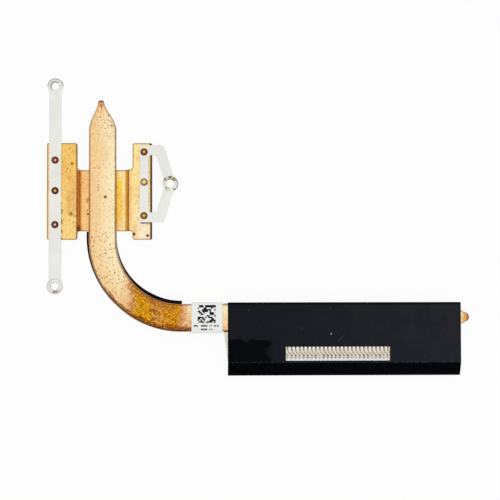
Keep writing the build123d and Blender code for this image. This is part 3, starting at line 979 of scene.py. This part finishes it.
def height_on(line, x):
    """Height at x of a cross line that is drawn from left to right."""
    for first, second in zip(line, line[1:]):
        if x <= second.x:
            return blend(first.y, second.y, (x - first.x) / (second.x - first.x))
    return line[-1].y


def edge_distance(point, outline):
    """Distance from a plan point to the nearest side of a closed outline."""
    reaches = []
    for index, end in enumerate(outline):
        start = outline[index - 1]
        side = end - start
        share = min(max((point - start).dot(side) / side.dot(side), 0.0), 1.0)
        reaches.append((point - start - side * share).length)
    return min(reaches)


def make_cold_plate(material):
    """One stamped sheet: its plan is drawn flat, cut along the folds and lifted to the folded profile."""
    outline = plate_outline()
    profile = plate_profile()
    shape = bmesh.new()
    shape.faces.new([shape.verts.new((point.x, point.y, 0)) for point in outline])
    shape.normal_update()
    bmesh.ops.inset_region(
        shape, faces=shape.faces[:], use_boundary=True, use_even_offset=True, thickness=EDGE_TONE_WIDTH,
    )
    for point in profile[1:-1]:
        everything = shape.verts[:] + shape.edges[:] + shape.faces[:]
        bmesh.ops.bisect_plane(shape, geom=everything, plane_co=(point.x, 0, 0), plane_no=(1, 0, 0))
    shape.verts.index_update()
    plan = [vertex.co.xy for vertex in shape.verts]
    vertices = [(point.x, point.y, height_on(profile, point.x)) for point in plan]
    flow = [(edge_distance(point, outline), 0, 0) for point in plan]
    faces = [tuple(vertex.index for vertex in face.verts) for face in shape.faces]
    plate = make_piece("stamped_plate", vertices, faces, material, "cold_plate", flow)
    shape.free()
    thicken(plate, PLATE_THICKNESS)
    soften(plate, SHEET_EDGE)


def lathe(centre, line):
    """Vertices and faces of a line of (radius, height) points turned round an upright axis."""
    vertices = []
    for radius, height in line:
        for step in range(LATHE_STEPS):
            angle = 2 * math.pi * step / LATHE_STEPS
            x = centre[0] + radius * math.cos(angle)
            y = centre[1] + radius * math.sin(angle)
            vertices.append((x, y, height))
    return vertices, grid_faces(len(line), LATHE_STEPS, closed=True)


def join_shapes(shapes):
    """One list of vertices and one of faces from several."""
    vertices = []
    faces = []
    for more_vertices, more_faces in shapes:
        first = len(vertices)
        vertices.extend(more_vertices)
        faces.extend(tuple(first + index for index in face) for face in more_faces)
    return vertices, faces


def rivet_line():
    """Section of a peened rivet head, as (radius, height): a rolled rim, a hollow ring and a small crown."""
    top = bracket_top + RIVET_HEIGHT
    shares = ((1.0, 1.0), (1.0, 0.6), (0.95, 0.25), (0.84, 0.0), (0.72, 0.15), (0.58, 0.7), (0.46, 0.75),
              (0.34, 0.35), (RIVET_CROWN_RADIUS / RIVET_RADIUS, 0.15))
    return [(RIVET_RADIUS * radius, top - RIVET_HEIGHT * drop) for radius, drop in shares]


def make_rivets(material):
    line = rivet_line()
    shapes = []
    for rivet in rivets:
        vertices, faces = lathe(rivet, line)
        crown = tuple(range(len(vertices) - LATHE_STEPS, len(vertices)))
        shapes.append((vertices, faces + [crown]))
    vertices, faces = join_shapes(shapes)
    radii = [radius for radius, _ in line for _ in range(LATHE_STEPS)]
    flow = [(radius, 0, 0) for radius in radii * len(rivets)]
    make_piece("rivet_heads", vertices, faces, material, flow=flow)


def circle_loop(centre, radius):
    angles = [2 * math.pi * step / LATHE_STEPS for step in range(LATHE_STEPS)]
    return [(centre.x + radius * math.cos(angle), centre.y + radius * math.sin(angle)) for angle in angles]


def sheet_shape(loops):
    """Vertices and faces of a bracket sheet with rounded edges: the first loop outside, the rest holes."""
    drawing = bpy.data.curves.new("drawing", "CURVE")
    drawing.dimensions = "2D"
    drawing.fill_mode = "BOTH"
    drawing.extrude = BRACKET_THICKNESS / 2 - BRACKET_EDGE
    drawing.bevel_depth = BRACKET_EDGE
    drawing.bevel_resolution = EDGE_SEGMENTS
    drawing.offset = -BRACKET_EDGE
    for loop in loops:
        spline = drawing.splines.new("POLY")
        spline.points.add(len(loop) - 1)
        for point, (x, y) in zip(spline.points, loop):
            point.co = (x, y, 0, 1)
        spline.use_cyclic_u = True
    holder = bpy.data.objects.new("drawing", drawing)
    mesh = bpy.data.meshes.new_from_object(holder)
    middle = Vector((0, 0, wing_top + BRACKET_THICKNESS / 2))
    vertices = [vertex.co + middle for vertex in mesh.vertices]
    faces = [tuple(face.vertices) for face in mesh.polygons]
    bpy.data.objects.remove(holder)
    bpy.data.curves.remove(drawing)
    bpy.data.meshes.remove(mesh)
    return vertices, faces


def head_line():
    """Section of a screw head, as (radius, height): up the hole, over the top and down the sloped outside."""
    top = wing_top + HEAD_HEIGHT
    points = [
        (HOLE_RADIUS, wing_top),
        (HOLE_RADIUS, top),
        (HEAD_RADIUS - HEAD_SLOPE, top),
        (HEAD_RADIUS, bracket_top),
        (HEAD_RADIUS, wing_top),
    ]
    return rounded_line(points, [0, HEAD_ROUNDING, HEAD_ROUNDING, HEAD_COVER, 0])


def strip_half_width(reach):
    """Half width of the left strip at a reach from a head's centre towards the strip: head, fillet, strip."""
    head = HEAD_RADIUS - HEAD_COVER
    neck = math.sqrt((head + NECK_FILLET) ** 2 - (LEFT_STRIP_HALF + NECK_FILLET) ** 2)
    touch = neck * head / (head + NECK_FILLET)
    if reach <= touch:
        return math.sqrt(max(head ** 2 - reach ** 2, 0.0))
    if reach <= neck:
        return LEFT_STRIP_HALF + NECK_FILLET - math.sqrt(NECK_FILLET ** 2 - (neck - reach) ** 2)
    return LEFT_STRIP_HALF


def make_bracket(name, node, loops, heads, material):
    """A sheet with the given outlines, with a hole and a raised ring at each screw head."""
    holes = [circle_loop(head, HOLE_RADIUS + HEAD_COVER) for head in heads]
    rings = [lathe(head, head_line()) for head in heads]
    vertices, faces = join_shapes([sheet_shape(loops + holes)] + rings)
    make_piece(name, vertices, faces, material, node)


def make_left_bracket(material):
    """A straight strip with a round head at each end."""
    rows = spread(left_low.y + HEAD_COVER, left_high.y - HEAD_COVER, STRIP_STEP)[1:-1]
    halves = [strip_half_width(min(y - lower_head.y, upper_head.y - y)) for y in rows]
    right_side = [(left_strip_x + half, y) for half, y in zip(halves, rows)]
    left_side = [(left_strip_x - half, y) for half, y in zip(halves, rows)]
    loops = [right_side + left_side[::-1]]
    make_bracket("left_spring_bracket", "left_bracket", loops, [lower_head, upper_head], material)


def moved_out(points, distance):
    """A convex outline, drawn counter-clockwise, with every side moved out, or in by a negative distance."""
    corners = [Vector(point) for point in points]
    made = []
    for index, corner in enumerate(corners):
        before = (corner - corners[index - 1]).normalized()
        after = (corners[(index + 1) % len(corners)] - corner).normalized()
        first = Vector((before.y, -before.x))
        second = Vector((after.y, -after.x))
        made.append(corner + (first + second) * distance / (1 + first.dot(second)))
    return made


def make_right_bracket(material):
    """A closed loop: a bar riveted to the wing and two arms that meet at one round head."""
    arm_half = RIGHT_ARM_WIDTH / 2
    bar_half = RIGHT_BAR_WIDTH / 2
    upper = right_high.y - arm_half
    lower = right_low.y + arm_half
    corner_x = right_bar_x + RIGHT_CORNER_REACH

    def middle_line(bar_x):
        return [(bar_x, lower), (corner_x, lower), tuple(right_head), (corner_x, upper), (bar_x, upper)]

    outer = moved_out(middle_line(right_bar_x - bar_half + arm_half), arm_half)
    inner = moved_out(middle_line(right_bar_x + bar_half - arm_half), -arm_half)
    foot, shoulder = RIGHT_FOOT_RADIUS, RIGHT_OUTER_RADIUS
    outer = rounded_line(outer, [foot, shoulder, shoulder, shoulder, foot], closed=True)
    inner = rounded_line(inner, [RIGHT_INNER_RADIUS] * len(inner), closed=True)
    make_bracket("right_spring_bracket", "right_bracket", [outer, inner], [right_head], material)


def film_line():
    """Side line of the film's outer face, from the drooping flap over the window's edges to the rear lip."""
    top = film_high.z
    points = [
        (film_low.y, top - FLAP_LENGTH * math.sin(math.radians(FLAP_DROOP))),
        (fold_y, top),
        (window_low.y, top),
        (window_high.y, top),
        (film_high.y, top),
        (film_high.y, top - LIP_LENGTH),
    ]
    return subdivided(rounded_line(points, [0, FLAP_RADIUS, 0, 0, LIP_RADIUS, 0]), FILM_STEP)


def film_point(x, point):
    """A point of the film: a little sunk where it lies flat, and waving along the flap's edge."""
    flat = ease((point.x - fold_y) / FLAP_RADIUS) * ease((film_high.y - point.x) / LIP_RADIUS)
    unevenness = wave(x / FILM_WAVE_LENGTHS[0], point.x / FILM_WAVE_LENGTHS[1], FILM_WAVE_START)
    sink = FILM_WAVE * flat * unevenness
    hang = max(fold_y - point.x, 0.0) / (fold_y - film_low.y)
    lift = FLAP_WAVE * hang * noise.noise(Vector((x / FLAP_WAVE_LENGTH, *FLAP_WAVE_START)))
    return Vector((x, point.x, point.y - sink + lift))


def make_film(material):
    """Film folded over the fins, with a window in it."""
    rows = film_line()
    left = spread(film_low.x, window_low.x, FILM_STEP)
    middle = spread(window_low.x, window_high.x, FILM_STEP)
    right = spread(window_high.x, film_high.x, FILM_STEP)
    columns = left + middle[1:] + right[1:]
    vertices = [film_point(x, row) for row in rows for x in columns]

    def in_window(face):
        centre = (vertices[face[0]] + vertices[face[2]]) / 2
        return window_low.x < centre.x < window_high.x and window_low.y < centre.y < window_high.y

    faces = [face for face in grid_faces(len(rows), len(columns)) if not in_window(face)]
    vertices, faces = drop_unused(vertices, faces)
    film = make_piece("black_cover_film", vertices, faces, material, "cover_film")
    thicken(film, FILM_THICKNESS)


def make_tape(material):
    """Tape that follows the underside of the pipe from the plate round the bend."""
    stations = spread(pipe_high.y - tape_high.y, hot_leg + bend_length + TAPE_OVERRUN, PIPE_STEP)
    top = -pipe_half_height - TAPE_ADHESIVE
    corners = ((-1, 0), (1, 0), (1, 1), (-1, 1))
    vertices = []
    for distance in stations:
        centre, inside = pipe_frame(distance)
        share = min(max((distance - hot_leg) / (bend_length * TAPE_DRIFT_SHARE), 0.0), 1.0)
        drift = blend(TAPE_START_DRIFT, TAPE_END_DRIFT, share)
        for side, drop in corners:
            across = drift + side * TAPE_WIDTH / 2
            vertices.append(centre + inside * across + Vector((0, 0, top - drop * TAPE_THICKNESS)))
    faces = tube_faces(len(stations), len(corners))
    tape = make_piece("black_insulating_tape", vertices, faces, material, "insulating_tape")
    soften(tape, TAPE_EDGE)


def make_label(material):
    """Paper laid over the pipe, with both edges hanging a little past its sides."""
    middle_y = (label_low.y + label_high.y) / 2
    flat_half = pipe_half_width - LABEL_FOLD_INSET
    points = [
        (label_low.y, label_high.z - LABEL_DROOP),
        (middle_y - flat_half, label_high.z),
        (middle_y + flat_half, label_high.z),
        (label_high.y, label_high.z - LABEL_DROOP),
    ]
    rows = subdivided(rounded_line(points, [0, LABEL_FOLD_RADIUS, LABEL_FOLD_RADIUS, 0]), LABEL_STEP)
    columns = spread(label_low.x, label_high.x, LABEL_STEP)
    vertices = [(x, row.x, row.y) for row in rows for x in columns]
    flow = [(x - label_low.x, y - label_low.y, 0) for x, y, _ in vertices]
    faces = grid_faces(len(rows), len(columns))
    label = make_piece("paper_label", vertices, faces, material, "pipe_label", flow)
    thicken(label, LABEL_THICKNESS)


def dress_fins(material):
    """Give the fins, which stay as they are built, rounded edges and their finish."""
    for node in ("fin_stack", "left_end_fin", "right_end_fin"):
        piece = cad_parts[node]
        piece.data.materials.clear()
        piece.data.materials.append(material)
        joined = piece.modifiers.new("joined", "WELD")
        joined.merge_threshold = WELD_DISTANCE * MM
        soften(piece, FIN_EDGE)


# Studio


def make_floor():
    """Plain white floor. It glows for the eye and in reflections, and still takes a faint shadow."""
    half = FLOOR_SIZE * MM / 2
    level = (plate_low.z - FLOOR_GAP) * MM
    mesh = bpy.data.meshes.new("floor")
    corners = [(-half, -half, level), (half, -half, level), (half, half, level), (-half, half, level)]
    mesh.from_pydata(corners, [], [(0, 1, 2, 3)])
    floor = add_object("floor", mesh)
    material = bpy.data.materials.new("floor_white")
    material.use_nodes = True
    tree = material.node_tree
    tree.nodes.clear()
    rays = add_node(tree, "LightPath", {}).outputs
    seen = Field(rays["Is Camera Ray"])
    for ray in ("Is Glossy Ray", "Is Transmission Ray"):
        seen = seen.calc("MAXIMUM", Field(rays[ray]))
    diffuse = add_node(tree, "BsdfDiffuse", {"Color": (FLOOR_WHITE, FLOOR_WHITE, FLOOR_WHITE, 1.0)})
    glow = add_node(tree, "Emission", {})
    shaders = {"Fac": seen * FLOOR_GLOW, 1: Field(diffuse.outputs[0]), 2: Field(glow.outputs[0])}
    mixed = add_node(tree, "MixShader", shaders)
    add_node(tree, "OutputMaterial", {"Surface": Field(mixed.outputs[0])})
    mesh.materials.append(material)


def make_sky():
    """Soft white light from above, dim towards the horizon."""
    world = bpy.data.worlds.new("studio")
    world.use_nodes = True
    bpy.context.scene.world = world
    tree = world.node_tree
    direction = Field(add_node(tree, "TexCoord", {}).outputs["Generated"])
    level = direction.split()[2].rise(SKY_FADE_START, SKY_FADE_END, SKY_LOW, SKY_HIGH)
    background = tree.nodes["Background"]
    background.inputs["Color"].default_value = (1.0, 1.0, 1.0, 1.0)
    tree.links.new(level.output, background.inputs["Strength"])


def make_camera():
    """Camera above the object, turned a little off straight down."""
    lens = bpy.data.cameras.new("camera")
    lens.lens = CAMERA_LENS
    lens.sensor_width = CAMERA_SENSOR
    camera = add_object("camera", lens)
    camera.rotation_euler = [math.radians(turn) for turn in CAMERA_TURNS]
    back = camera.rotation_euler.to_matrix() @ Vector((0, 0, CAMERA_DISTANCE))
    camera.location = (Vector(CAMERA_TARGET) + back) * MM
    bpy.context.scene.camera = camera


make_heat_pipe(pipe_material())
make_cold_plate(plate_material())
make_rivets(rivet_material())
steel = bracket_material()
make_left_bracket(steel)
make_right_bracket(steel)
dress_fins(fin_material())
make_film(film_material())
make_tape(tape_material())
make_label(label_material())
make_floor()
make_sky()
make_camera()
bpy.context.scene.view_settings.view_transform = "Standard"
